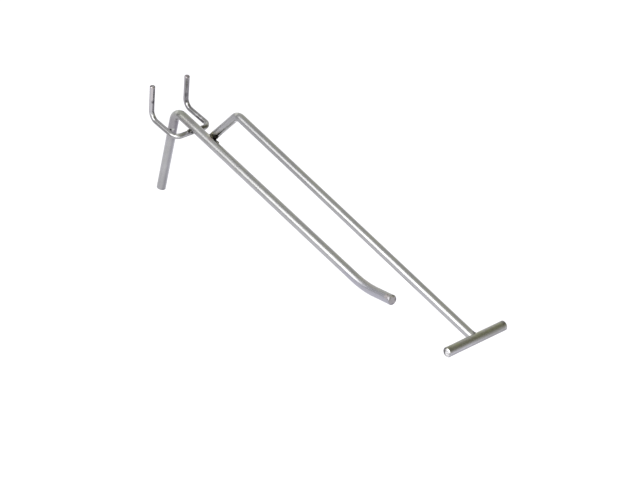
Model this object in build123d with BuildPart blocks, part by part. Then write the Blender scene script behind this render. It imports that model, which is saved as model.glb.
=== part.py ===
from build123d import *
import os
from math import cos, radians, sin

# Display hook for a perforated panel: four round steel wires bent to shape and welded together.
# Millimetres and degrees. The frame is the hook as it hangs: +Z is up, the arm runs out along -Y,
# and the front face of the panel is the plane Y = 0, which the upright leg rests against.
# The origin is on that face, midway between the two wires that pass through the panel.

# Wire diameters
arm_wire_d = 5.8
overarm_wire_d = 5.1
peg_wire_d = 3.3
label_bar_d = 5.5

# Hook arm: upright leg, arm tilted up to the front, and upturned tip.
# Lengths run between the corners where the centre lines would meet if they weren't rounded.
leg_length = 65.9
arm_length = 181.5
tip_length = 23.6
arm_tilt = 7.0
tip_turn = 19.5
leg_bend_r = 8.8
tip_bend_r = 52.0

# Peg bracket: one wire bent to a U, with both of its ends turned up behind the panel
peg_pitch = 25.0
bracket_setback = 17.6
bracket_depth = 24.9
peg_lean = 10.1
left_peg_height = 22.4
right_peg_height = 21.4
peg_bend_r = 5.5
bracket_corner_r = 4.4

# Overarm: a riser that crosses the side of the arm, then a run above the arm to the label bar
riser_setback = 31.6
overarm_rise = 28.4
riser_slope = 62.5
riser_tail = 3.0
riser_bend_r = 7.3
overarm_length = 210.0
overarm_tilt = 5.8
label_bar_length = 40.4
label_bar_shift = 0.4

# Welds, and how far a weld sinks one wire into the other
set_down = 0.2
bracket_weld_length = 8.4
bracket_weld_d = 2.8
overarm_weld_length = 11.0
overarm_weld_d = 2.6
overarm_weld_shift = 2.5
overarm_weld_raise = 0.3
label_weld_length = 4.6
label_weld_d = 2.6
label_weld_raise = 0.8

# Trimmed ends of the wires
wire_end_chamfer = 0.5
peg_end_chamfer = 0.4

# Wire radii
arm_r = arm_wire_d / 2
overarm_r = overarm_wire_d / 2
peg_r = peg_wire_d / 2
label_bar_r = label_bar_d / 2


def heading(angle):
    """Unit vector in the plane X = 0, pointing to the front and up by this many degrees."""
    return Vector(0, -cos(radians(angle)), sin(radians(angle)))


def bead(plane, length, diameter):
    """A round-ended run of weld metal, centred on the plane and lying along its normal."""
    with BuildPart() as metal:
        with BuildSketch(plane):
            Circle(diameter / 2)
        extrude(amount=length / 2, both=True)
        fillet(metal.edges().filter_by(GeomType.CIRCLE), radius=0.45 * diameter)
    return metal.part


# Directions of the wires
arm_way = heading(arm_tilt)
arm_normal = heading(arm_tilt + 90)
tip_way = heading(arm_tilt + tip_turn)
run_way = heading(peg_lean)
peg_way = heading(peg_lean + 90)
riser_way = heading(riser_slope)
overarm_way = heading(overarm_tilt)
overarm_normal = heading(overarm_tilt + 90)
down = heading(-90)

# The cross wire lies under the arm. Its runs pass through the panel at the origin's level,
# which places the arm's leg corner too.
cross_from_corner = arm_way * bracket_setback - arm_normal * (arm_r + peg_r - set_down)
run_in_front = (arm_r - cross_from_corner.Y) / cos(radians(peg_lean))
cross_middle = run_way * run_in_front
leg_corner = cross_middle - cross_from_corner

# Corners of the hook arm
leg_end = leg_corner + down * leg_length
tip_corner = leg_corner + arm_way * arm_length
tip_end = tip_corner + tip_way * tip_length

# Corners of the peg bracket
half_pitch = Vector(peg_pitch / 2, 0, 0)
peg_foot = cross_middle - run_way * bracket_depth
left_peg_top = peg_foot - half_pitch + peg_way * left_peg_height
right_peg_top = peg_foot + half_pitch + peg_way * right_peg_height

# Corners of the overarm, which lies beside the arm on its right
overarm_offset = Vector(arm_r + overarm_r - set_down, 0, 0)
crossing = leg_corner + arm_way * riser_setback + overarm_offset
overarm_corner = crossing + riser_way * (overarm_rise / sin(radians(riser_slope - arm_tilt)))
riser_end = crossing - riser_way * riser_tail
overarm_front = overarm_corner + overarm_way * overarm_length

os.makedirs("parts", exist_ok=True)

# Hook arm: leg, tight bend, arm and gently upturned tip
with BuildPart() as hook_arm:
    with BuildLine() as arm_path:
        FilletPolyline(leg_end, leg_corner, tip_corner, tip_end, radius=[leg_bend_r, tip_bend_r])
    with BuildSketch(Plane(origin=arm_path.line @ 0, z_dir=arm_path.line % 0)):
        Circle(arm_r)
    sweep()
    arm_ends = hook_arm.faces().filter_by(GeomType.PLANE)
    chamfer(arm_ends.edges(), length=wire_end_chamfer)
hook_arm.part.label = "hook_arm"
export_step(hook_arm.part, "parts/hook_arm.step")

# Peg bracket: two pegs, the runs through the panel, and the cross wire sunk into the arm
with BuildPart() as peg_bracket:
    with BuildLine() as bracket_path:
        FilletPolyline(
            left_peg_top,
            peg_foot - half_pitch,
            cross_middle - half_pitch,
            cross_middle + half_pitch,
            peg_foot + half_pitch,
            right_peg_top,
            radius=[peg_bend_r, bracket_corner_r, bracket_corner_r, peg_bend_r],
        )
    with BuildSketch(Plane(origin=bracket_path.line @ 0, z_dir=bracket_path.line % 0)):
        Circle(peg_r)
    sweep()
    peg_ends = peg_bracket.faces().filter_by(GeomType.PLANE)
    chamfer(peg_ends.edges(), length=peg_end_chamfer)
    add(hook_arm.part, mode=Mode.SUBTRACT)
peg_bracket.part.label = "peg_bracket"
export_step(peg_bracket.part, "parts/peg_bracket.step")

# Label bar: a cut rod, square to the overarm and set a little to its right
label_bar_middle = overarm_front + Vector(label_bar_shift, 0, 0)
with BuildPart() as label_bar:
    with BuildSketch(Plane(origin=label_bar_middle, x_dir=(0, 1, 0), z_dir=(1, 0, 0))):
        Circle(label_bar_r)
    extrude(amount=label_bar_length / 2, both=True)
    bar_ends = label_bar.faces().filter_by(GeomType.PLANE)
    chamfer(bar_ends.edges(), length=wire_end_chamfer)
label_bar.part.label = "label_bar"
export_step(label_bar.part, "parts/label_bar.step")

# Overarm: riser sunk into the side of the arm, bend, and run saddled to the label bar
with BuildPart() as overarm:
    with BuildLine() as overarm_path:
        FilletPolyline(riser_end, overarm_corner, overarm_front, radius=riser_bend_r)
    with BuildSketch(Plane(origin=overarm_path.line @ 0, z_dir=overarm_path.line % 0)):
        Circle(overarm_r)
    sweep()
    riser_foot = overarm.faces().filter_by(GeomType.PLANE).sort_by(Axis.Z)[0]
    chamfer(riser_foot.edges(), length=wire_end_chamfer)
    add(hook_arm.part, mode=Mode.SUBTRACT)
    add(label_bar.part, mode=Mode.SUBTRACT)
overarm.part.label = "overarm"
export_step(overarm.part, "parts/overarm.step")

# Weld of the cross wire to the underside of the arm
bracket_joint = cross_middle + arm_normal * (peg_r - set_down / 2)
bracket_bead = bead(Plane(origin=bracket_joint, z_dir=(1, 0, 0)), bracket_weld_length, bracket_weld_d)
with BuildPart() as bracket_weld:
    add(bracket_bead)
    add(hook_arm.part, mode=Mode.SUBTRACT)
    add(peg_bracket.part, mode=Mode.SUBTRACT)
bracket_weld.part.label = "bracket_weld"
export_step(bracket_weld.part, "parts/bracket_weld.step")

# Weld of the riser to the side of the arm, drawn out to the front in the corner below the riser
overarm_joint = crossing - Vector(overarm_r, 0, 0) + arm_normal * overarm_weld_raise
overarm_joint += arm_way * overarm_weld_shift
overarm_bead = bead(Plane(origin=overarm_joint, z_dir=arm_way), overarm_weld_length, overarm_weld_d)
with BuildPart() as overarm_weld:
    add(overarm_bead)
    add(hook_arm.part, mode=Mode.SUBTRACT)
    add(overarm.part, mode=Mode.SUBTRACT)
overarm_weld.part.label = "overarm_weld"
export_step(overarm_weld.part, "parts/overarm_weld.step")

# Weld of the overarm to the label bar, in the corner on their right
label_joint = overarm_front - overarm_way * label_bar_r + Vector(overarm_r, 0, 0)
label_joint += overarm_normal * label_weld_raise
label_bead = bead(Plane(origin=label_joint, z_dir=overarm_normal), label_weld_length, label_weld_d)
with BuildPart() as label_weld:
    add(label_bead)
    add(overarm.part, mode=Mode.SUBTRACT)
    add(label_bar.part, mode=Mode.SUBTRACT)
label_weld.part.label = "label_weld"
export_step(label_weld.part, "parts/label_weld.step")
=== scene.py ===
from math import cos, pi, radians, sin, tan

import bmesh
import bpy
from mathutils import Matrix, Vector, noise


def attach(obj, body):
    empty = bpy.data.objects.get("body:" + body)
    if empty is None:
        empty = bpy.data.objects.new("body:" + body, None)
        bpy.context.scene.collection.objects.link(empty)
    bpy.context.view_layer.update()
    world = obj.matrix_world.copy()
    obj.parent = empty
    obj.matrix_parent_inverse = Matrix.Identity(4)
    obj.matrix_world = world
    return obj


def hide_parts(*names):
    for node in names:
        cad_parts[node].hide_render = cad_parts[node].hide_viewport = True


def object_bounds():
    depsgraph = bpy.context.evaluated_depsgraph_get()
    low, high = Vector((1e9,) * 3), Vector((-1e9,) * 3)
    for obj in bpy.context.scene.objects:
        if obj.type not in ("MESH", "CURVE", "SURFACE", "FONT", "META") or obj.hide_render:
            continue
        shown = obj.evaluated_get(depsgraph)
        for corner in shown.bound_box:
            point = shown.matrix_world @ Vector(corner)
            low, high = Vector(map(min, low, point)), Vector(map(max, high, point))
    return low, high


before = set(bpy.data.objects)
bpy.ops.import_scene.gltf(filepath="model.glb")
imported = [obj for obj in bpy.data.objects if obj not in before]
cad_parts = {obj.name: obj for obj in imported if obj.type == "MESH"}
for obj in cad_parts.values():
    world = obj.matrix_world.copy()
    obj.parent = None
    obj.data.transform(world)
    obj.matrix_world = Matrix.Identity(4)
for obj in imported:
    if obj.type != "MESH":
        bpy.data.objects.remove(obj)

CAD_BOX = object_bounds()

# Metres in a millimetre: wires and welds are worked out in millimetres and built in metres
MM = 0.001

# Sizes of the hook in millimetres and degrees, as in the part's source
ARM_R = 2.9
OVERARM_R = 2.55
PEG_R = 1.65
BAR_R = 2.75
SET_DOWN = 0.2
LEG_LENGTH = 65.9
ARM_LENGTH = 181.5
TIP_LENGTH = 23.6
ARM_TILT = 7.0
TIP_TURN = 19.5
LEG_BEND_R = 8.8
TIP_BEND_R = 52.0
PEG_PITCH = 25.0
BRACKET_SETBACK = 17.6
BRACKET_DEPTH = 24.9
PEG_LEAN = 10.1
LEFT_PEG_HEIGHT = 22.4
RIGHT_PEG_HEIGHT = 21.4
PEG_BEND_R = 5.5
BRACKET_CORNER_R = 4.4
RISER_SETBACK = 31.6
OVERARM_RISE = 28.4
RISER_SLOPE = 62.5
RISER_TAIL = 3.0
RISER_BEND_R = 7.3
OVERARM_LENGTH = 210.0
OVERARM_TILT = 5.8
BAR_LENGTH = 40.4
BAR_SHIFT = 0.4
WIRE_CHAMFER = 0.5
PEG_CHAMFER = 0.4

# The leaning cut at the leg's foot, as a slope along X and Y, and the length of wire that takes it up
LEG_END_SLANT = Vector((-0.27, -0.24, 0.0))
SLANT_FADE = 8.0

# Spacing of a wire's rings in bends and on straight stretches, the fewest in a bend, and points in each
BEND_STEP = 0.4
RUN_STEP = 2.0
PEG_BEND_STEP = 0.3
PEG_RUN_STEP = 1.5
BAR_STEP = 1.0
LEAST_BEND_STEPS = 6
RING_POINTS = 48

# How far the weld beads are set into the wires, raised, shifted to the front and lowered
BRACKET_WELD_SINK = 0.2
RISER_WELD_RISE = 0.3
RISER_WELD_SHIFT = 2.5
BAR_WELD_SINK = 0.8
BAR_WELD_DROP = 0.2

# Unevenness of the weld beads. Each kind of lump is its waves per millimetre and its share of the width
BEAD_SUBDIVISIONS = 5
BEAD_FULLNESS = 3.2
BEAD_RIPPLE = 0.07
RIPPLE_LAG = 1.1
BEAD_LUMPS = ((0.75, 0.20), (2.1, 0.09))
LUMP_STRETCH = 0.06
SEED_SHIFTS = (7.31, 3.17, 5.53)

# Noise of the plating along the drawn wire and across it, and of the weld metal, in waves per metre
DRAW_LINES = (60, 5200, 5200)
CLOUDS = (150, 260, 260)
SPECKS = (900, 1300, 1300)
WELD_LUMPS = 900.0
WELD_GRAIN = 4200.0

# Bumps of the surfaces, each as its depth in metres and its strength
DRAW_LINE_BUMP = (0.00002, 0.05)
SPECK_BUMP = (0.00003, 0.03)
WELD_LUMP_BUMP = (0.00025, 0.6)
WELD_GRAIN_BUMP = (0.00008, 0.5)

# Levels between which each noise goes from none to full
SHEEN_LEVELS = (0.3, 0.7)
CLOUD_LEVELS = (0.35, 0.65)
PATCH_LEVELS = (0.42, 0.58)
WELD_LEVELS = (0.38, 0.62)

# Roughness that the draw lines add or take, that cut ends add, and of the weld metal from hollow to top
LINE_ROUGHNESS = 0.04
CUT_ROUGHNESS = 0.2
WELD_ROUGHNESS = (0.62, 0.38)

# How far specks push the edge of a spot of stain or painted light, as a share of the edge's width
RAGGEDNESS = 1.6

# Camera, fitted to the outline of the hook in the photograph
CAMERA_TURN = -48.3848
CAMERA_HEIGHT_ANGLE = 45.0794
CAMERA_ROLL = 15.8932
CAMERA_DISTANCE = 1.0940
CAMERA_AIM = (0.0, -0.120, 0.0)
CAMERA_SIDE = 0.0180953
CAMERA_UP = 0.0032393
FOCAL_PIXELS = 1914.0
PHOTO_WIDTH = 640
SENSOR = 36.0
NEAREST_SEEN = 0.05
FARTHEST_SEEN = 50.0

# Floor in metres: a painted dim pool that the wires mirror, a painted brighter place behind them, and the
# dim far floor
FLOOR_DROP = 0.90
FLOOR_SIZE = 16.0
POOL_MIDDLE = (0.25, -0.50)
POOL_EDGES = (0.15, 0.75)
BRIGHT_MIDDLE = (1.15, 0.90)
BRIGHT_EDGES = (0.7, 1.5)
BRIGHT_SHARE = 0.11
FAR_EDGES = (3.5, 7.5)

# Colours of the floor, darker in its painted dim pool, and the light that it gives off, dim in the pool,
# brighter behind the hook and dim far off
DIM_POOL_COLOUR = (0.34, 0.34, 0.35)
FLOOR_COLOUR = (0.56, 0.56, 0.57)
DIM_POOL_GLOW = (0.33, 0.32, 0.36)
FLOOR_GLOW = (0.63, 0.625, 0.67)
BRIGHT_GLOW = (1.5, 1.5, 1.5)
FAR_GLOW = (0.34, 0.34, 0.35)

# Light of the surroundings, and the way in which it is dimmer
STUDIO_LIGHT = (0.76, 0.76, 0.76)
DIM_LIGHT = (0.32, 0.32, 0.25)
DIM_WAY = (0.52, -0.24, 0.82)
DIM_EDGE = 0.38

# Shades of black marks (weld soot, and painted shadow in crevices), of the two painted reflections of the
# surroundings, and of painted highlights on the zinc
BLACK = (0.012, 0.010, 0.009)
PAINTED_OLIVE_REFLECTION = (0.43, 0.435, 0.36)
PAINTED_LAVENDER_REFLECTION = (0.42, 0.415, 0.45)
PAINTED_HIGHLIGHT = (0.92, 0.92, 0.93)
WHITE_GLINT = (0.97, 0.97, 0.98)

# Ways that the sides of the wires face where they take painted reflections, highlights and shade
UPPER_RIGHT = (0.6, 0.0, 0.8)
LOWER_LEFT = (-0.75, 0.2, -0.6)
FRONT = (0.12, -0.98, 0.17)
LEFT = (-0.99, 0.03, 0.15)
TOP = (-0.07, 0.17, 0.98)
BELOW_STRIPE = (-0.92, 0.05, 0.38)
UNDER_LEFT = (-0.78, -0.08, -0.62)
LEG_RIGHT = (0.67, -0.74, 0.0)
ARM_LEFT = (-0.99, 0.02, 0.13)
ARM_LOWER_LEFT = (-0.95, 0.1, -0.3)
ARM_UPPER_RIGHT = (0.85, 0.05, 0.52)
TIP_UPPER_LEFT = (-0.70, 0.31, 0.63)
PEG_RIGHT = (0.75, -0.66, 0.11)
PEG_LEFT = (-0.75, 0.66, -0.11)
PEG_FRONT_LEFT = (-0.67, -0.73, 0.13)
RUN_UPPER_LEFT = (-0.82, 0.02, 0.57)
CROSS_UPPER_FRONT = (0, -0.75, 0.66)
CROSS_LOWER_FRONT = (0, -0.83, -0.55)
BAR_TOP = (0, 0.35, 0.94)
BAR_UPPER_FRONT = (0, -0.85, 0.53)
BAR_FRONT = (0, -0.995, -0.1)
BAR_LOWER_FRONT = (0, -0.95, -0.3)

# Start, end and margin of a streak along the whole of any wire
ALL_LENGTH = (0, 400, 1)


# Shapes


def heading(angle):
    """Unit vector in the plane X = 0, pointing to the front and up by this many degrees."""
    return Vector((0, -cos(radians(angle)), sin(radians(angle))))


def straight(start, end, step):
    """Evenly spaced points from start up to, but not at, the end."""
    count = max(1, round((end - start).length / step))
    return [start.lerp(end, i / count) for i in range(count)]


def rounded_path(corners, radii, bend_step, run_step):
    """Points along straight runs joined by arcs of these radii, one for each inner corner."""
    points = []
    start = corners[0]
    for before, corner, after, radius in zip(corners, corners[1:], corners[2:], radii):
        back = (before - corner).normalized()
        on = (after - corner).normalized()
        half = back.angle(on) / 2
        reach = radius / tan(half)
        first = corner + back * reach
        centre = corner + (back + on).normalized() * (radius / sin(half))
        points += straight(start, first, run_step)
        arm = first - centre
        axis = on.cross(back).normalized()
        turn = pi - 2 * half
        steps = max(LEAST_BEND_STEPS, round(radius * turn / bend_step))
        points += [centre + Matrix.Rotation(turn * i / steps, 3, axis) @ arm for i in range(steps)]
        start = corner + on * reach
    return points + straight(start, corners[-1], run_step) + [corners[-1]]


def end_profile(radius, chamfer):
    """Rings of a trimmed wire end, from the axis outwards.

    Each is its distance from the end, its radius, and how far it is cut face and trimmed rim.
    """
    flat = radius - chamfer
    face_middle = (0.0, flat * 0.5, 1.0, 0.0)
    face_edge = (0.0, flat - 0.08, 1.0, 0.3)
    rim_start = (0.03, flat, 0.5, 1.0)
    rim_middle = (chamfer * 0.5, radius - chamfer * 0.42, 0.0, 1.0)
    rim_end = (chamfer - 0.05, radius - 0.06, 0.0, 0.8)
    side_start = (chamfer + 0.06, radius, 0.0, 0.3)
    return [face_middle, face_edge, rim_start, rim_middle, rim_end, side_start]


def wire_rings(points, radius, chamfer):
    """Rings of a wire along these points, with trimmed ends.

    Each is its centre, its direction, its distance along the wire, its radius, and how far it is cut
    face and trimmed rim.
    """
    total = 0.0
    stations = []
    for i, point in enumerate(points):
        before = points[max(i - 1, 0)]
        after = points[min(i + 1, len(points) - 1)]
        total += (point - before).length
        stations.append((point, (after - before).normalized(), total))
    profile = end_profile(radius, chamfer)
    clear = profile[-1][0] * 1.5
    head, head_way, _ = stations[0]
    tail, tail_way, _ = stations[-1]
    first = [(head + head_way * depth, head_way, depth, *rest) for depth, *rest in profile]
    middle = [(*station, radius, 0.0, 0.0) for station in stations if clear < station[2] < total - clear]
    last = [(tail - tail_way * depth, tail_way, total - depth, *rest) for depth, *rest in reversed(profile)]
    return first + middle + last


def placed(name, data):
    """A new object with this data, in the scene."""
    made = bpy.data.objects.new(name, data)
    bpy.context.scene.collection.objects.link(made)
    return made


def finished(name, build):
    """The object of a mesh that was built, in the scene."""
    mesh = bpy.data.meshes.new(name)
    build.to_mesh(mesh)
    build.free()
    return placed(name, mesh)


def swept_wire(name, points, radius, chamfer, side, slant=Vector()):
    """A closed round wire along these points, with trimmed ends, ready to ride on the body.

    Its attribute drawn holds each point's place in the straight wire before it was bent: along the
    wire, and across it in two directions, in metres. Its attributes end_face and end_rim are 1 on
    the cut ends and on their trimmed rims. Side is a way in which no stretch of the wire runs. With
    a slant, the first end isn't cut square: the wire is longer on the side that the slant points
    away from.
    """
    build = bmesh.new()
    drawn = build.verts.layers.float_vector.new("drawn")
    cut = build.verts.layers.float.new("end_face")
    rim = build.verts.layers.float.new("end_rim")
    loops = []
    for centre, way, along, ring_r, is_face, is_rim in wire_rings(points, radius, chamfer):
        up = side.cross(way).normalized()
        across = way.cross(up)
        loop = []
        for k in range(RING_POINTS):
            angle = 2 * pi * k / RING_POINTS
            a, b = ring_r * cos(angle), ring_r * sin(angle)
            off = across * a + up * b
            longer = (slant.length * radius - off.dot(slant)) * max(0.0, 1 - along / SLANT_FADE)
            vert = build.verts.new((centre + off - way * longer) * MM)
            vert[drawn] = Vector((along, a, b)) * MM
            vert[cut] = is_face
            vert[rim] = is_rim
            loop.append(vert)
        loops.append(loop)
    for lower, upper in zip(loops, loops[1:]):
        for k in range(RING_POINTS):
            n = (k + 1) % RING_POINTS
            build.faces.new((lower[k], lower[n], upper[n], upper[k])).smooth = True
    for loop in (loops[0], loops[-1]):
        middle = build.verts.new(sum((vert.co for vert in loop), Vector()) / RING_POINTS)
        middle[drawn] = Vector((loop[0][drawn].x, 0, 0))
        middle[cut] = 1.0
        for k in range(RING_POINTS):
            build.faces.new((loop[k], loop[(k + 1) % RING_POINTS], middle)).smooth = True
    bmesh.ops.recalc_face_normals(build, faces=build.faces)
    return finished(name, build)


def weld_lumps(name, *beads):
    """Rough beads of weld metal in one mesh, with ripples across them and uneven lumps.

    Each bead is its centre, the directions of its length and height, its length, width and height,
    a seed, and its number of ripples.
    """
    build = bmesh.new()
    for centre, way, up, length, width, height, seed, ripples in beads:
        made = bmesh.ops.create_icosphere(build, subdivisions=BEAD_SUBDIVISIONS, radius=1.0)
        side = up.cross(way).normalized()
        offset = Vector([seed * shift for shift in SEED_SHIFTS])
        for vert in made["verts"]:
            along, y, z = vert.co
            full = max(0.0, 1.0 - abs(along) ** BEAD_FULLNESS) ** 0.5
            across = Vector((0, y, z)).normalized()
            place = Vector((along * length / 2, across.y * width / 2 * full, across.z * height / 2 * full))
            ripple = BEAD_RIPPLE * sin(along * ripples * pi + RIPPLE_LAG * across.y)
            lump = sum(size * noise.noise(place * waves + offset) for waves, size in BEAD_LUMPS)
            swell = 1.0 + ripple + lump
            place = Vector((place.x * (1 + LUMP_STRETCH * lump), place.y * swell, place.z * swell))
            vert.co = (centre + way * place.x + side * place.y + up * place.z) * MM
    for face in build.faces:
        face.smooth = True
    return finished(name, build)


# Directions and corners of the wires, worked out as in the part's source
arm_way = heading(ARM_TILT)
arm_normal = heading(ARM_TILT + 90)
tip_way = heading(ARM_TILT + TIP_TURN)
run_way = heading(PEG_LEAN)
peg_way = heading(PEG_LEAN + 90)
riser_way = heading(RISER_SLOPE)
overarm_way = heading(OVERARM_TILT)
overarm_normal = heading(OVERARM_TILT + 90)
right = Vector((1, 0, 0))
upright = Vector((0, 0, 1))

cross_from_corner = arm_way * BRACKET_SETBACK - arm_normal * (ARM_R + PEG_R - SET_DOWN)
cross_middle = run_way * ((ARM_R - cross_from_corner.y) / cos(radians(PEG_LEAN)))
leg_corner = cross_middle - cross_from_corner
leg_end = leg_corner - upright * LEG_LENGTH
tip_corner = leg_corner + arm_way * ARM_LENGTH
tip_end = tip_corner + tip_way * TIP_LENGTH

half_pitch = right * (PEG_PITCH / 2)
peg_foot = cross_middle - run_way * BRACKET_DEPTH
left_corner = cross_middle - half_pitch
left_foot = peg_foot - half_pitch
left_peg_end = left_foot + peg_way * LEFT_PEG_HEIGHT
right_corner = cross_middle + half_pitch
right_foot = peg_foot + half_pitch
right_peg_end = right_foot + peg_way * RIGHT_PEG_HEIGHT

crossing = leg_corner + arm_way * RISER_SETBACK + right * (ARM_R + OVERARM_R - SET_DOWN)
riser_end = crossing - riser_way * RISER_TAIL
overarm_corner = crossing + riser_way * (OVERARM_RISE / sin(radians(RISER_SLOPE - ARM_TILT)))
overarm_front = overarm_corner + overarm_way * OVERARM_LENGTH
bar_left = overarm_front + right * (BAR_SHIFT - BAR_LENGTH / 2)
bar_right = overarm_front + right * (BAR_SHIFT + BAR_LENGTH / 2)


def make_wires():
    """The four wires, each by the name of its CAD node."""
    arm_path = rounded_path([leg_end, leg_corner, tip_corner, tip_end],
                            [LEG_BEND_R, TIP_BEND_R], BEND_STEP, RUN_STEP)
    peg_path = rounded_path([left_peg_end, left_foot, left_corner, right_corner, right_foot, right_peg_end],
                            [PEG_BEND_R, BRACKET_CORNER_R, BRACKET_CORNER_R, PEG_BEND_R],
                            PEG_BEND_STEP, PEG_RUN_STEP)
    overarm_path = rounded_path([riser_end, overarm_corner, overarm_front],
                                [RISER_BEND_R], BEND_STEP, RUN_STEP)
    bar_path = straight(bar_left, bar_right, BAR_STEP) + [bar_right]
    peg_side = Vector((0.35, 0.52, 0.78)).normalized()
    return {
        "hook_arm": swept_wire("arm_wire", arm_path, ARM_R, WIRE_CHAMFER, right, LEG_END_SLANT),
        "peg_bracket": swept_wire("peg_wire", peg_path, PEG_R, PEG_CHAMFER, peg_side),
        "overarm": swept_wire("overarm_wire", overarm_path, OVERARM_R, WIRE_CHAMFER, right),
        "label_bar": swept_wire("crossbar", bar_path, BAR_R, WIRE_CHAMFER, upright),
    }


def make_welds():
    """The three welds, each by the name of its CAD node. A crust lies on the riser weld's bead."""
    under_arm = cross_middle + arm_normal * (PEG_R - BRACKET_WELD_SINK)
    beside_riser = crossing - right * OVERARM_R + arm_normal * RISER_WELD_RISE + arm_way * RISER_WELD_SHIFT
    bar_corner = overarm_front - overarm_way * BAR_R
    beside_bar = bar_corner + right * (OVERARM_R - BAR_WELD_SINK) - overarm_normal * BAR_WELD_DROP
    crust_way = Vector((0.6, -0.75, 0.25)).normalized()
    crust_middle = crossing + Vector((-1.75, -3.536, 2.954))
    crust_back = crossing + Vector((-1.65, -0.936, 3.254))
    crust_front = crossing + Vector((-3.05, -7.636, 2.754))
    return {
        "bracket_weld": weld_lumps("cross_wire_weld", (under_arm, right, arm_normal, 8.0, 2.5, 2.2, 1, 5)),
        "overarm_weld": weld_lumps(
            "riser_weld",
            (beside_riser, arm_way, arm_normal, 11.0, 2.6, 2.6, 2, 6),
            (crust_middle, crust_way, arm_normal, 3.4, 2.2, 2.3, 5, 2),
            (crust_back, riser_way, right, 4.4, 2.6, 2.2, 6, 2),
            (crust_front, arm_way, arm_normal, 2.3, 1.4, 1.4, 7, 2)),
        "label_weld": weld_lumps("crossbar_weld", (beside_bar, overarm_normal, right, 3.6, 2.1, 2.1, 3, 3)),
    }


# Materials


def node(tree, kind, **settings):
    """A shader node; each setting is an attribute of it or the value of one of its inputs."""
    made = tree.nodes.new(kind)
    for key, value in settings.items():
        if hasattr(made, key):
            setattr(made, key, value)
        else:
            made.inputs[key.replace("_", " ")].default_value = value
    return made


def stretched(tree, source, scale):
    """The coordinates from this socket, scaled by three factors."""
    mapping = node(tree, "ShaderNodeMapping")
    mapping.inputs["Scale"].default_value = scale
    tree.links.new(source, mapping.inputs["Vector"])
    return mapping.outputs["Vector"]


def grain(tree, vector, scale, detail, rough):
    """Noise at this scale along the given coordinates."""
    made = node(tree, "ShaderNodeTexNoise", Scale=scale, Detail=detail, Roughness=rough)
    tree.links.new(vector, made.inputs["Vector"])
    return made.outputs["Fac"]


def spread(tree, value, low, high, to_low=0.0, to_high=1.0):
    """Maps the range low..high to to_low..to_high, clamped."""
    made = node(tree, "ShaderNodeMapRange")
    for name, number in (("From Min", low), ("From Max", high), ("To Min", to_low), ("To Max", to_high)):
        made.inputs[name].default_value = number
    tree.links.new(value, made.inputs["Value"])
    return made.outputs["Result"]


def mixed(tree, factor, first, second):
    """Colour from first to second by factor. Each is a colour or a socket."""
    made = node(tree, "ShaderNodeMix", data_type="RGBA")
    tree.links.new(factor, made.inputs["Factor"])
    for name, value in (("A", first), ("B", second)):
        socket = [s for s in made.inputs if s.name == name and s.type == "RGBA"][0]
        if isinstance(value, tuple):
            socket.default_value = (*value, 1.0)
        else:
            tree.links.new(value, socket)
    return [s for s in made.outputs if s.type == "RGBA"][0]


def worked_out(tree, operation, *values):
    """Result of this operation on sockets and numbers."""
    made = node(tree, "ShaderNodeMath", operation=operation)
    for socket, value in zip(made.inputs, values):
        if isinstance(value, float):
            socket.default_value = value
        else:
            tree.links.new(value, socket)
    return made.outputs["Value"]


def measured(tree, operation, vector, fixed):
    """Distance or dot product of a vector from a socket and a fixed one."""
    made = node(tree, "ShaderNodeVectorMath", operation=operation)
    tree.links.new(vector, made.inputs[0])
    made.inputs[1].default_value = fixed
    return made.outputs["Value"]


def bumped(tree, heights, shader):
    """Chains bumps into the shader's normal. Heights lists the socket, depth and strength of each."""
    normal = None
    for height, depth, strength in heights:
        bump = node(tree, "ShaderNodeBump", Distance=depth, Strength=strength)
        tree.links.new(height, bump.inputs["Height"])
        if normal:
            tree.links.new(normal, bump.inputs["Normal"])
        normal = bump.outputs["Normal"]
    tree.links.new(normal, shader.inputs["Normal"])


def stain_or_painted_light(point, radius, edge, strength, shade):
    """A ragged spot of another shade around this point, for a stain or for painted light or shade. The
    point, radius and edge are in millimetres.
    """
    def lay(tree, colour, surface):
        away = measured(tree, "DISTANCE", surface["place"], point * MM)
        ragged = worked_out(tree, "MULTIPLY_ADD", surface["specks"], RAGGEDNESS * edge * MM, away)
        start = (radius + RAGGEDNESS / 2 * edge) * MM
        factor = spread(tree, ragged, start, start + edge * MM, strength, 0.0)
        return mixed(tree, factor, colour, shade)
    return lay


def stains_or_painted_light(anchor, *spots):
    """Stains and spots of painted light and shade around a corner or end of the wires.

    Each is its offset from there, its radius and soft edge, its strength and its shade.
    """
    return [stain_or_painted_light(anchor + Vector(offset), *rest) for offset, *rest in spots]


def streak_or_painted_light(start, end, margin, strength, shade, facing=None, square=(0.0, 1.0), patches=None):
    """Another shade along a stretch of the drawn wire, in millimetres, with soft margins: mostly painted
    reflection, highlight or shade, at times a tone of the plating.

    With facing, only the side of the wire that faces that way has it, from none to full as the
    surface turns to it between the two values of square. Patches names the noise that breaks it up.
    """
    def lay(tree, colour, surface):
        rise = spread(tree, surface["along"], (start - margin) * MM, start * MM, 0.0, strength)
        fall = spread(tree, surface["along"], end * MM, (end + margin) * MM, 1.0, 0.0)
        factor = worked_out(tree, "MULTIPLY", rise, fall)
        if facing:
            turned = measured(tree, "DOT_PRODUCT", surface["normal"], Vector(facing).normalized())
            factor = worked_out(tree, "MULTIPLY", factor, spread(tree, turned, *square))
        if patches:
            factor = worked_out(tree, "MULTIPLY", factor, spread(tree, surface[patches], *PATCH_LEVELS))
        return mixed(tree, factor, colour, shade)
    return lay


def new_material(name):
    """A material with its node tree and its shader."""
    material = bpy.data.materials.new(name)
    material.use_nodes = True
    tree = material.node_tree
    return material, tree, tree.nodes["Principled BSDF"]


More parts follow.
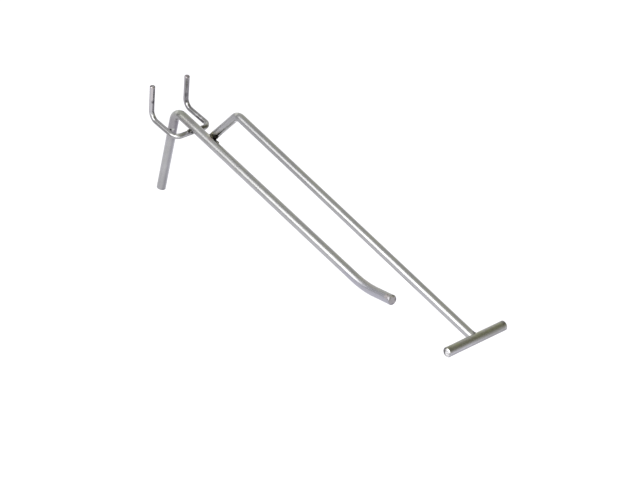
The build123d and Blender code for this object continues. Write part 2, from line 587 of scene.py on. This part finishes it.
def zinc_wire(name, light, dark, rough, face, rim, marks_and_painted_light):
    """Zinc-plated drawn wire: lengthwise draw lines, cloudy plating, cut ends, and streaks and spots of
    painted light and shade and of soot.
    """
    material, tree, shader = new_material(name)
    drawn = node(tree, "ShaderNodeAttribute", attribute_name="drawn").outputs["Vector"]
    cut = node(tree, "ShaderNodeAttribute", attribute_name="end_face").outputs["Fac"]
    trimmed = node(tree, "ShaderNodeAttribute", attribute_name="end_rim").outputs["Fac"]
    parts = node(tree, "ShaderNodeSeparateXYZ")
    tree.links.new(drawn, parts.inputs["Vector"])
    lines = grain(tree, stretched(tree, drawn, DRAW_LINES), 1.0, 2.0, 0.5)
    surface = {
        "place": node(tree, "ShaderNodeTexCoord").outputs["Object"],
        "normal": node(tree, "ShaderNodeNewGeometry").outputs["Normal"],
        "along": parts.outputs["X"],
        "clouds": grain(tree, stretched(tree, drawn, CLOUDS), 1.0, 3.0, 0.5),
        "specks": grain(tree, stretched(tree, drawn, SPECKS), 1.0, 3.0, 0.6),
    }
    colour = mixed(tree, spread(tree, surface["clouds"], *CLOUD_LEVELS), dark, light)
    colour = mixed(tree, cut, colour, face)
    colour = mixed(tree, trimmed, colour, rim)
    for lay in marks_and_painted_light:
        colour = lay(tree, colour, surface)
    tree.links.new(colour, shader.inputs["Base Color"])
    shader.inputs["Metallic"].default_value = 1.0
    sheen = spread(tree, lines, *SHEEN_LEVELS, rough - LINE_ROUGHNESS, rough + LINE_ROUGHNESS)
    sheen = worked_out(tree, "ADD", sheen, worked_out(tree, "MULTIPLY", cut, CUT_ROUGHNESS))
    tree.links.new(sheen, shader.inputs["Roughness"])
    bumped(tree, [(lines, *DRAW_LINE_BUMP), (surface["specks"], *SPECK_BUMP)], shader)
    return material


def weld_metal(name, light, dark, marks_and_painted_light):
    """Rough weld metal, darker and rougher in its hollows, with black spots of soot and painted shadow."""
    material, tree, shader = new_material(name)
    place = node(tree, "ShaderNodeTexCoord").outputs["Object"]
    lumps = grain(tree, place, WELD_LUMPS, 4.0, 0.6)
    fine = grain(tree, place, WELD_GRAIN, 3.0, 0.6)
    colour = mixed(tree, spread(tree, lumps, *WELD_LEVELS), dark, light)
    for lay in marks_and_painted_light:
        colour = lay(tree, colour, {"place": place, "specks": lumps})
    tree.links.new(colour, shader.inputs["Base Color"])
    shader.inputs["Metallic"].default_value = 0.85
    shader.inputs["Specular IOR Level"].default_value = 0.1
    tree.links.new(spread(tree, lumps, *SHEEN_LEVELS, *WELD_ROUGHNESS), shader.inputs["Roughness"])
    bumped(tree, [(lumps, *WELD_LUMP_BUMP), (fine, *WELD_GRAIN_BUMP)], shader)
    return material


# Painted reflections and shade that the arm and the overarm share: a painted olive reflection on the upper
# right, a painted lavender reflection on the lower left, painted shade under the left side, and uneven
# specks of the plating
painted_reflections_and_specks = [
    streak_or_painted_light(*ALL_LENGTH, 0.6, PAINTED_OLIVE_REFLECTION, UPPER_RIGHT, (0.35, 0.75), "clouds"),
    streak_or_painted_light(*ALL_LENGTH, 0.6, PAINTED_LAVENDER_REFLECTION, LOWER_LEFT, (0.35, 0.75), "clouds"),
    streak_or_painted_light(*ALL_LENGTH, 0.6, (0.28, 0.28, 0.29), UNDER_LEFT, (0.72, 0.97)),
    streak_or_painted_light(*ALL_LENGTH, 0.25, (0.52, 0.52, 0.50), patches="specks"),
]

# Arm: painted reflections, highlights and shade, with weld soot; streaks from the leg to the tip, then spots
# at the bend, the riser weld and the tip
arm_marks_and_painted_light = [
    *painted_reflections_and_specks,
    # Painted lavender reflection on the leg's right side, and the leg darker towards its foot
    streak_or_painted_light(-5, 60, 9, 0.5, (0.40, 0.395, 0.46), LEG_RIGHT, (0.0, 0.9)),
    streak_or_painted_light(-5, 8, 14, 0.35, (0.29, 0.29, 0.29)),
    # Painted shade at the top of the leg, a painted olive reflection on top of the bend, painted shade and a
    # painted highlight below the arm's stripe, and painted shade on its left and on its upper right beside
    # the riser weld
    streak_or_painted_light(50, 60, 9, 0.5, (0.21, 0.19, 0.21)),
    streak_or_painted_light(50, 60, 9, 0.4, (0.15, 0.13, 0.18), LEG_RIGHT, (0.2, 0.9)),
    streak_or_painted_light(62, 72, 5, 0.6, (0.42, 0.45, 0.37), TOP, (0.1, 0.7)),
    streak_or_painted_light(68, 82, 6, 0.35, (0.22, 0.215, 0.22), ARM_LOWER_LEFT, (0.4, 0.8)),
    streak_or_painted_light(68, 82, 6, 0.3, (0.62, 0.62, 0.60), BELOW_STRIPE, (0.90, 0.99)),
    streak_or_painted_light(86, 98, 6, 0.4, (0.25, 0.25, 0.25), ARM_LEFT, (0.93, 0.99)),
    streak_or_painted_light(99, 108, 4, 0.45, (0.14, 0.14, 0.11), ARM_UPPER_RIGHT, (0.75, 0.97)),
    # A painted highlight widening the stripe towards the tip, a brownish painted reflection at the tip's
    # bend, painted shade over the stripe near the tip and a painted lavender reflection under the tip
    streak_or_painted_light(190, 236, 40, 0.5, (0.55, 0.55, 0.57), BELOW_STRIPE, (0.90, 0.99)),
    streak_or_painted_light(242, 252, 6, 0.4, (0.45, 0.42, 0.37), UPPER_RIGHT, (0.3, 0.7)),
    streak_or_painted_light(249, 264, 9, 0.7, (0.26, 0.26, 0.28), TIP_UPPER_LEFT, (0.95, 0.995)),
    streak_or_painted_light(232, 270, 12, 0.5, (0.41, 0.405, 0.49), LOWER_LEFT, (-0.2, 0.5)),
    # Painted shade and a painted highlight at the leg's bend, and a black spot with a pale one where the
    # left run passes in front of the leg
    *stains_or_painted_light(
        leg_corner,
        ((-2.00, -13.10, 0.10), 5.0, 8.0, 0.3, (0.20, 0.18, 0.17)),
        ((-1.60, -2.70, 1.60), 0.8, 0.7, 0.7, (0.78, 0.78, 0.73)),
        ((-2.52, -1.43, -14.00), 0.5, 0.4, 0.97, BLACK),
        ((-1.46, -2.51, -13.34), 0.4, 0.7, 0.6, (0.66, 0.70, 0.64))),
    # At the riser weld: olive and pinkish patches, black from weld soot and painted crevice shadow, and grey
    # painted shade on the arm's left
    *stains_or_painted_light(
        crossing,
        ((-4.40, -0.54, 2.85), 0.7, 0.9, 0.8, (0.66, 0.64, 0.54)),
        ((-5.45, -3.74, 3.35), 0.9, 1.2, 0.6, (0.42, 0.34, 0.34)),
        ((-2.95, -5.24, 2.25), 1.1, 0.9, 0.95, BLACK),
        ((-3.35, -6.74, 3.05), 0.6, 0.6, 0.9, BLACK),
        ((-4.35, -7.34, 3.55), 0.2, 0.6, 0.7, (0.05, 0.045, 0.04)),
        ((-4.45, -6.04, 3.55), 0.3, 0.7, 0.8, (0.04, 0.04, 0.035)),
        ((-8.15, -8.04, 1.05), 0.7, 1.0, 0.35, (0.25, 0.25, 0.25))),
    # At the tip's cut end: painted shade and painted highlights, and mottles of the cut face
    *stains_or_painted_light(
        tip_end,
        ((2.58, -0.13, -0.24), 0.8, 0.7, 0.8, (0.15, 0.13, 0.16)),
        ((0.80, 0.97, 2.06), 0.5, 0.5, 0.6, (0.24, 0.23, 0.16)),
        ((-0.50, 1.27, 2.16), 0.5, 0.4, 0.8, (0.70, 0.67, 0.62)),
        ((-0.60, -1.08, -2.14), 0.6, 0.7, 0.6, (0.22, 0.20, 0.25)),
        ((-1.70, 3.57, 0.76), 1.2, 0.8, 0.6, (0.58, 0.52, 0.51)),
        ((-0.90, 3.77, 1.26), 0.3, 0.5, 0.6, (0.25, 0.23, 0.20)),
        ((-2.30, 1.27, 1.31), 0.6, 0.6, 0.4, (0.18, 0.17, 0.17))),
]

# Peg wire: painted reflections, highlights and shade, with weld soot; streaks from the left peg's top to the
# right one's, then spots
peg_marks_and_painted_light = [
    # The left peg lighter, with painted shade on its left, right and front sides and a painted pinkish
    # highlight near its top
    streak_or_painted_light(-5, 16, 5, 0.85, (0.56, 0.55, 0.57)),
    streak_or_painted_light(-5, 16, 5, 0.85, (0.30, 0.28, 0.30), PEG_LEFT, (0.55, 0.85)),
    streak_or_painted_light(-5, 18, 4, 0.65, (0.20, 0.19, 0.20), PEG_RIGHT, (0.78, 0.97)),
    streak_or_painted_light(-5, 8, 4, 0.5, (0.68, 0.62, 0.60), PEG_FRONT_LEFT, (0.92, 0.99)),
    streak_or_painted_light(-5, 21, 3, 0.72, (0.09, 0.08, 0.10), FRONT, (0.88, 0.96)),
    # Painted shade on the left sides, tops and undersides of the runs and the cross wire, and a painted
    # highlight along the cross wire
    streak_or_painted_light(24, 44, 4, 0.50, (0.15, 0.145, 0.15), LEFT, (0.86, 0.96)),
    streak_or_painted_light(50, 61, 3, 0.75, (0.62, 0.61, 0.67), CROSS_UPPER_FRONT, (0.80, 0.97)),
    streak_or_painted_light(66, 88, 3, 0.55, (0.12, 0.115, 0.12), LEFT, (0.86, 0.96)),
    streak_or_painted_light(71, 88, 3, 0.45, (0.18, 0.18, 0.17), TOP, (0.80, 0.95)),
    streak_or_painted_light(22, 92, 3, 0.7, (0.20, 0.20, 0.20), UNDER_LEFT, (0.72, 0.97)),
    streak_or_painted_light(46, 65, 3, 0.6, (0.22, 0.22, 0.22), CROSS_LOWER_FRONT, (0.75, 0.97)),
    streak_or_painted_light(82, 91, 3, 0.5, (0.10, 0.10, 0.11), RUN_UPPER_LEFT, (0.93, 0.99)),
    # The right peg darker, with painted shade and a lighter band on its sides
    streak_or_painted_light(90, 120, 4, 0.38, (0.23, 0.21, 0.24)),
    streak_or_painted_light(92, 120, 4, 0.6, (0.20, 0.19, 0.20), PEG_LEFT, (0.65, 0.90)),
    streak_or_painted_light(90, 108, 4, 0.40, (0.12, 0.11, 0.13), PEG_RIGHT, (0.1, 0.6)),
    streak_or_painted_light(92, 106, 4, 0.35, (0.42, 0.40, 0.42), PEG_LEFT, (0.1, 0.5)),
    # Under the arm at the cross wire: painted shade, and black from weld soot and painted crevice shadow
    *stains_or_painted_light(
        cross_middle,
        ((0.00, 0.00, 1.68), 3.0, 4.0, 0.2, (0.17, 0.17, 0.12)),
        ((-2.80, -0.10, 1.68), 0.5, 0.5, 0.95, BLACK),
        ((-1.14, -1.30, 0.98), 0.45, 0.5, 0.9, BLACK),
        ((-1.10, -1.60, 0.38), 0.5, 0.6, 0.6, (0.15, 0.15, 0.14))),
    # Painted highlights at the left corner
    *stains_or_painted_light(
        left_corner,
        ((1.90, -0.60, 0.98), 0.5, 0.6, 0.9, PAINTED_HIGHLIGHT),
        ((1.40, 0.00, 1.18), 0.9, 0.8, 0.85, PAINTED_HIGHLIGHT),
        ((3.50, -0.30, 1.38), 0.8, 1.2, 0.55, (0.64, 0.64, 0.64))),
    # Painted shade on the cross wire near the arm, and painted highlights on the right run and corner
    *stains_or_painted_light(
        right_corner,
        ((-5.30, -0.60, 1.48), 0.6, 0.9, 0.8, (0.08, 0.07, 0.04)),
        ((-3.60, -1.10, 1.18), 0.5, 0.7, 0.75, (0.10, 0.10, 0.07)),
        ((-2.20, -1.00, 0.78), 0.6, 0.9, 0.7, (0.12, 0.12, 0.10)),
        ((-1.10, 12.00, -0.92), 0.6, 0.8, 0.5, (0.66, 0.66, 0.68)),
        ((-1.30, 7.60, -0.32), 0.7, 1.0, 0.5, (0.72, 0.70, 0.72)),
        ((-1.20, 0.90, 1.38), 0.6, 0.9, 0.6, (0.66, 0.67, 0.62))),
    # Painted highlights at the left bend, and a dark spot up the left peg
    *stains_or_painted_light(
        left_foot,
        ((-0.30, -2.02, 3.34), 0.45, 0.5, 0.85, (0.90, 0.90, 0.90)),
        ((-1.10, -0.82, 4.24), 0.5, 0.7, 0.7, (0.80, 0.80, 0.82)),
        ((-0.20, 0.58, 12.04), 0.5, 1.0, 0.7, (0.03, 0.025, 0.035))),
    # A painted highlight at the right bend, and darker patches on and above it
    *stains_or_painted_light(
        right_foot,
        ((-0.50, -2.02, 3.34), 0.4, 0.5, 0.85, (0.90, 0.90, 0.90)),
        ((-1.60, -0.72, 1.84), 0.6, 0.7, 0.5, (0.22, 0.22, 0.22)),
        ((-1.20, -0.42, 8.94), 0.7, 1.2, 0.6, (0.05, 0.05, 0.055))),
    # The left peg's cut end: a dark rim, and a pale pinkish spot below it
    *stains_or_painted_light(
        left_peg_end,
        ((0.00, -0.04, 0.09), 1.7, 0.4, 0.5, (0.46, 0.42, 0.425)),
        ((-1.10, 0.66, -0.11), 0.55, 0.5, 0.75, (0.06, 0.045, 0.05)),
        ((-0.10, 1.36, -0.21), 0.6, 0.4, 0.75, (0.07, 0.055, 0.06)),
        ((1.00, 0.46, -0.11), 0.55, 0.4, 0.75, (0.07, 0.06, 0.06)),
        ((1.20, -0.84, 0.09), 0.5, 0.4, 0.75, (0.08, 0.07, 0.07)),
        ((-0.80, -1.34, -0.51), 0.4, 0.4, 0.8, (0.62, 0.56, 0.55))),
    # The right peg's cut end, with a painted glint
    *stains_or_painted_light(
        right_peg_end,
        ((-0.40, -0.77, 0.18), 1.7, 0.4, 0.6, (0.44, 0.41, 0.42)),
        ((-1.06, -1.26, 0.11), 0.2, 0.4, 0.8, (0.42, 0.40, 0.42))),
]

# Overarm: painted reflections, highlights and shade, with weld soot; streaks from the riser to the front,
# then spots at its weld, its bend and its front
overarm_marks_and_painted_light = [
    *painted_reflections_and_specks,
    # A painted pinkish reflection on the riser, painted shade below the stripe, and a painted highlight
    # widening the stripe towards the front
    streak_or_painted_light(4, 32, 4, 0.6, (0.39, 0.33, 0.335), UPPER_RIGHT, (-0.3, 0.4)),
    streak_or_painted_light(36, 100, 30, 0.5, (0.29, 0.29, 0.30), BELOW_STRIPE, (0.2, 0.85)),
    streak_or_painted_light(190, 260, 50, 0.8, (0.54, 0.54, 0.56), BELOW_STRIPE, (0.90, 0.99)),
    # At the riser weld: black from weld soot and painted crevice shadow, a dark olive patch, dark painted
    # shade and a painted highlight
    *stains_or_painted_light(
        crossing,
        ((-1.25, -4.34, 2.85), 1.7, 1.0, 0.97, BLACK),
        ((-2.05, -1.04, 2.85), 0.9, 0.9, 0.8, (0.20, 0.19, 0.12)),
        ((-0.95, -6.34, 6.45), 1.0, 1.5, 0.6, (0.08, 0.08, 0.08)),
        ((-2.00, -5.04, 6.35), 0.9, 0.6, 0.9, (0.78, 0.78, 0.76))),
    # Painted shade and painted highlights at the riser's bend
    *stains_or_painted_light(
        overarm_corner,
        ((-2.35, -2.02, 0.89), 0.7, 1.0, 0.5, (0.22, 0.22, 0.22)),
        ((-0.85, 0.38, 1.49), 0.8, 1.0, 0.7, (0.80, 0.80, 0.72)),
        ((-1.05, -0.52, -4.01), 0.6, 1.0, 0.5, (0.72, 0.72, 0.77))),
    # At the front: a dark patch beside the crossbar weld and a painted highlight
    *stains_or_painted_light(
        overarm_front,
        ((1.65, 2.50, 1.66), 1.1, 0.9, 0.9, (0.06, 0.06, 0.04)),
        ((-0.55, 3.20, 2.16), 0.6, 0.8, 0.5, (0.70, 0.70, 0.66))),
]

# Crossbar: painted reflections, highlights and shade; streaks from left to right, then spots at its two ends
bar_marks_and_painted_light = [
    # A painted olive reflection on the top, in clouds, and uneven specks
    streak_or_painted_light(*ALL_LENGTH, 0.4, (0.42, 0.42, 0.27), BAR_TOP, (0.4, 0.95)),
    streak_or_painted_light(*ALL_LENGTH, 0.6, (0.36, 0.39, 0.18), BAR_TOP, (0.5, 0.95), "clouds"),
    streak_or_painted_light(*ALL_LENGTH, 0.6, (0.32, 0.30, 0.28), patches="specks"),
    # Painted highlights on the upper front, painted shade on the lower front and on the right half's front,
    # and darker near the ends
    streak_or_painted_light(-5, 16, 14, 0.6, (0.68, 0.67, 0.74), BAR_UPPER_FRONT, (0.93, 0.99)),
    streak_or_painted_light(28, 45, 14, 0.45, (0.50, 0.495, 0.48), BAR_UPPER_FRONT, (0.85, 0.97)),
    streak_or_painted_light(*ALL_LENGTH, 0.5, (0.28, 0.275, 0.31), BAR_LOWER_FRONT, (0.75, 0.95)),
    streak_or_painted_light(28, 45, 12, 0.7, (0.28, 0.275, 0.275), BAR_FRONT, (0.82, 0.98)),
    streak_or_painted_light(38.5, 42, 1.2, 0.5, (0.13, 0.13, 0.12), BAR_TOP, (0.3, 0.8)),
    streak_or_painted_light(0.8, 2.4, 1.2, 0.25, (0.12, 0.12, 0.10), BAR_TOP, (0.3, 0.8)),
    # The cut ends: dark crescents and painted highlights on the left one, a painted highlight at the right
    # one
    *stains_or_painted_light(
        bar_left,
        ((0.05, 2.10, 0.36), 1.1, 0.5, 0.85, (0.13, 0.13, 0.13)),
        ((0.05, 2.00, -1.14), 1.15, 0.5, 0.85, (0.11, 0.11, 0.11)),
        ((0.05, 0.80, -2.34), 0.9, 0.5, 0.92, (0.08, 0.08, 0.08)),
        ((0.05, -0.30, -2.64), 0.6, 0.4, 0.9, (0.09, 0.09, 0.09)),
        ((0.15, 1.90, 1.86), 0.5, 0.4, 0.85, (0.09, 0.09, 0.08)),
        ((0.20, -0.40, 2.26), 0.45, 0.4, 0.85, WHITE_GLINT),
        ((0.25, -1.50, 1.86), 0.6, 0.5, 0.65, (0.90, 0.90, 0.92))),
    *stains_or_painted_light(bar_right, ((-0.95, -1.90, 1.76), 0.7, 0.8, 0.5, (0.75, 0.75, 0.75))),
]

# Black on the welds: weld soot, and painted shadow in the crevices beside them
bracket_weld_soot_and_painted_shadow = stains_or_painted_light(
    cross_middle,
    ((-3.00, -0.40, 1.78), 0.4, 0.8, 0.98, BLACK),
    ((-1.10, -1.30, 1.18), 0.4, 0.8, 0.98, BLACK))
riser_weld_soot_and_painted_shadow = stains_or_painted_light(
    crossing,
    ((-1.25, -4.04, 3.05), 2.5, 0.8, 0.98, BLACK),
    ((-2.45, -5.54, 2.25), 1.3, 0.8, 0.98, BLACK),
    ((-2.25, -7.04, 1.95), 0.2, 0.8, 0.98, BLACK))


def make_materials():
    """The material of each piece, by the name of its CAD node."""
    return {
        "hook_arm": zinc_wire(
            "zinc_arm_wire", light=(0.46, 0.46, 0.46), dark=(0.40, 0.40, 0.40), rough=0.26,
            face=(0.50, 0.47, 0.50), rim=(0.36, 0.35, 0.36), marks_and_painted_light=arm_marks_and_painted_light),
        "peg_bracket": zinc_wire(
            "zinc_peg_wire", light=(0.42, 0.415, 0.42), dark=(0.37, 0.37, 0.37), rough=0.17,
            face=(0.26, 0.22, 0.23), rim=(0.22, 0.18, 0.19), marks_and_painted_light=peg_marks_and_painted_light),
        "overarm": zinc_wire(
            "zinc_overarm_wire", light=(0.46, 0.46, 0.46), dark=(0.40, 0.40, 0.40), rough=0.26,
            face=(0.45, 0.45, 0.45), rim=(0.13, 0.13, 0.12), marks_and_painted_light=overarm_marks_and_painted_light),
        # The crossbar's cut faces are near white: bare cut steel with a painted highlight
        "label_bar": zinc_wire(
            "zinc_crossbar", light=(0.53, 0.53, 0.57), dark=(0.44, 0.44, 0.47), rough=0.20,
            face=WHITE_GLINT, rim=(0.55, 0.55, 0.56), marks_and_painted_light=bar_marks_and_painted_light),
        "bracket_weld": weld_metal(
            "bracket_weld_metal", light=(0.48, 0.48, 0.42), dark=(0.17, 0.17, 0.15),
            marks_and_painted_light=bracket_weld_soot_and_painted_shadow),
        "overarm_weld": weld_metal(
            "riser_weld_metal", light=(0.31, 0.30, 0.22), dark=(0.06, 0.055, 0.04),
            marks_and_painted_light=riser_weld_soot_and_painted_shadow),
        "label_weld": weld_metal(
            "crossbar_weld_metal", light=(0.12, 0.12, 0.08), dark=(0.02, 0.02, 0.015), marks_and_painted_light=[]),
    }


# Stage, light and camera


def seen_light(tree, surface, colour):
    """Adds light that only the camera, reflections and glass see, so that the ground looks white."""
    path = node(tree, "ShaderNodeLightPath")
    seen = path.outputs["Is Camera Ray"]
    for name in ("Is Glossy Ray", "Is Transmission Ray"):
        seen = worked_out(tree, "MAXIMUM", seen, path.outputs[name])
    glow = node(tree, "ShaderNodeEmission")
    tree.links.new(colour, glow.inputs["Color"])
    tree.links.new(seen, glow.inputs["Strength"])
    both = node(tree, "ShaderNodeAddShader")
    tree.links.new(surface, both.inputs[0])
    tree.links.new(glow.outputs["Emission"], both.inputs[1])
    return both.outputs["Shader"]


def make_floor():
    """A pale floor well below the hook, for the wires to mirror, with a painted dim pool and a brighter
    glowing place.
    """
    half = FLOOR_SIZE / 2
    z = CAD_BOX[0][2] - FLOOR_DROP
    corners = [(-half, -half, z), (half, -half, z), (half, half, z), (-half, half, z)]
    mesh = bpy.data.meshes.new("floor")
    mesh.from_pydata(corners, [], [(0, 1, 2, 3)])
    floor = placed("floor", mesh)
    material, tree, shader = new_material("pale_floor")
    place = node(tree, "ShaderNodeTexCoord").outputs["Object"]
    pool = spread(tree, measured(tree, "DISTANCE", place, (*POOL_MIDDLE, z)), *POOL_EDGES)
    bright = spread(tree, measured(tree, "DISTANCE", place, (*BRIGHT_MIDDLE, z)),
                    *BRIGHT_EDGES, BRIGHT_SHARE, 0.0)
    far = spread(tree, measured(tree, "DISTANCE", place, (0, 0, z)), *FAR_EDGES)
    tree.links.new(mixed(tree, pool, DIM_POOL_COLOUR, FLOOR_COLOUR), shader.inputs["Base Color"])
    shader.inputs["Roughness"].default_value = 0.9
    shader.inputs["Specular IOR Level"].default_value = 0.1
    glow = mixed(tree, pool, DIM_POOL_GLOW, FLOOR_GLOW)
    glow = mixed(tree, bright, glow, BRIGHT_GLOW)
    glow = mixed(tree, far, glow, FAR_GLOW)
    output = tree.nodes["Material Output"]
    tree.links.new(seen_light(tree, shader.outputs["BSDF"], glow), output.inputs["Surface"])
    floor.data.materials.append(material)


def make_world():
    """Even studio light, dimmer and a little olive up and to the right."""
    world = bpy.data.worlds.new("studio")
    bpy.context.scene.world = world
    world.use_nodes = True
    tree = world.node_tree
    background = tree.nodes["Background"]
    way = node(tree, "ShaderNodeTexCoord").outputs["Generated"]
    side = measured(tree, "DOT_PRODUCT", way, Vector(DIM_WAY).normalized())
    colour = mixed(tree, spread(tree, side, DIM_EDGE, 1.0), STUDIO_LIGHT, DIM_LIGHT)
    tree.links.new(colour, background.inputs["Color"])
    background.inputs["Strength"].default_value = 1.0


def softbox(name, place, target, width, height, radiance):
    """A rectangular lamp of this radiance, facing the target. Places and sizes are in metres."""
    light = bpy.data.lights.new(name, "AREA")
    light.shape = "RECTANGLE"
    light.size = width
    light.size_y = height
    light.energy = radiance * pi * width * height
    lamp = placed(name, light)
    lamp.location = place
    lamp.rotation_euler = (Vector(target) - Vector(place)).to_track_quat("-Z", "Y").to_euler()


def make_lights():
    """A large softbox on the left, and a small one behind the hook."""
    softbox("left_softbox", place=(-0.72, -0.08, 0.56), target=(0.0, -0.12, 0.02),
            width=1.5, height=0.75, radiance=2.3)
    softbox("back_strip", place=(-0.72, 0.94, 0.52), target=(0.0, -0.02, 0.01),
            width=0.26, height=0.34, radiance=0.7)


def make_camera():
    """The camera of the photograph."""
    lens = bpy.data.cameras.new("camera")
    lens.sensor_width = SENSOR
    lens.lens = FOCAL_PIXELS * SENSOR / PHOTO_WIDTH
    lens.clip_start = NEAREST_SEEN
    lens.clip_end = FARTHEST_SEEN
    turn = Matrix.Rotation(radians(CAMERA_TURN), 3, "Z")
    tilt = Matrix.Rotation(radians(90 - CAMERA_HEIGHT_ANGLE), 3, "X")
    roll = Matrix.Rotation(radians(CAMERA_ROLL), 3, "Z")
    facing = turn @ tilt @ roll
    place = Vector(CAMERA_AIM) + facing @ Vector((CAMERA_SIDE, CAMERA_UP, CAMERA_DISTANCE))
    camera = placed("camera", lens)
    camera.matrix_world = Matrix.Translation(place) @ facing.to_4x4()
    bpy.context.scene.camera = camera


bpy.context.scene.view_settings.view_transform = "Standard"

pieces = {**make_wires(), **make_welds()}
materials = make_materials()
for part, piece in pieces.items():
    piece.data.materials.append(materials[part])
    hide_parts(part)
    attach(piece, "root")

make_floor()
make_world()
make_lights()
make_camera()
